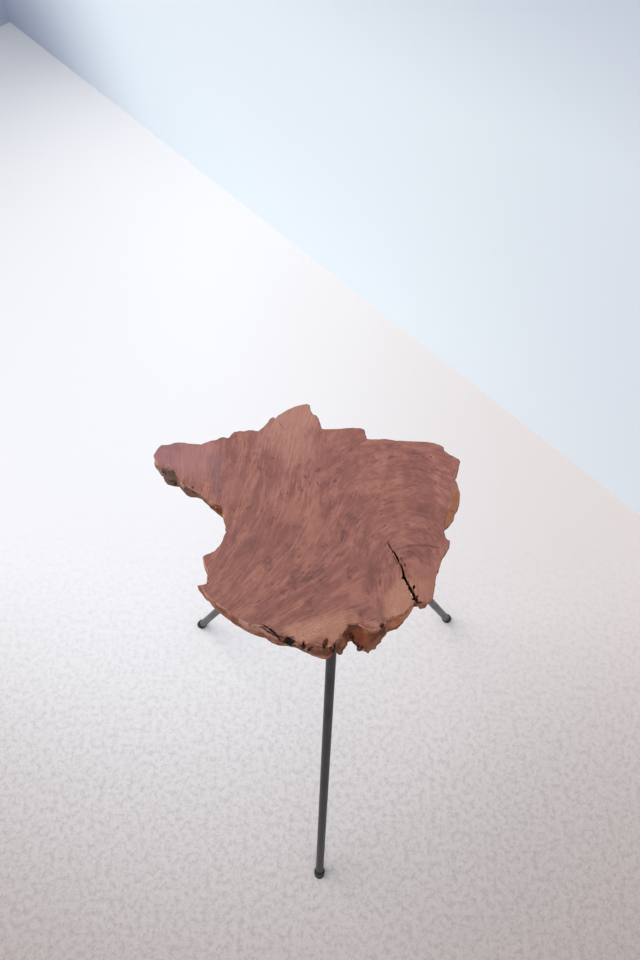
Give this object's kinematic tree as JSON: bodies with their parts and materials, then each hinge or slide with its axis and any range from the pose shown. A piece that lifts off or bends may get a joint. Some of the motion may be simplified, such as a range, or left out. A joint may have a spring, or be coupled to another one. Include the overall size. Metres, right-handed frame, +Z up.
{
  "type": "side table",
  "caption": "Low side table: a natural-edge slice of root wood on a splayed tripod of black round rods with rubber foot caps.",
  "frame": {"origin": "on the floor, at the middle of the footprint's bounding rectangle", "axes": "+Z up from the floor to the tabletop, -Y towards the front leg, -X towards the tip of the slab's long tongue"},
  "size_m": [0.3872, 0.369, 0.602],
  "materials": {
    "slab_wood": "sanded and waxed, satin, red-brown with darker growth rings",
    "black_steel": "blackened, low satin",
    "zinc_steel": "zinc plated",
    "black_rubber": "matte"
  },
  "bodies": {
    "root": {"slab_top": "slab_wood", "mounting_plate": "black_steel", "leg_front": "black_steel", "leg_right": "black_steel", "leg_left": "black_steel", "weld_front": "black_steel", "weld_right": "black_steel", "weld_left": "black_steel", "screw_front_right": "zinc_steel", "screw_back": "zinc_steel", "screw_front_left": "zinc_steel", "foot_cap_front": "black_rubber", "foot_cap_right": "black_rubber", "foot_cap_left": "black_rubber"}
  },
  "joints": []
}
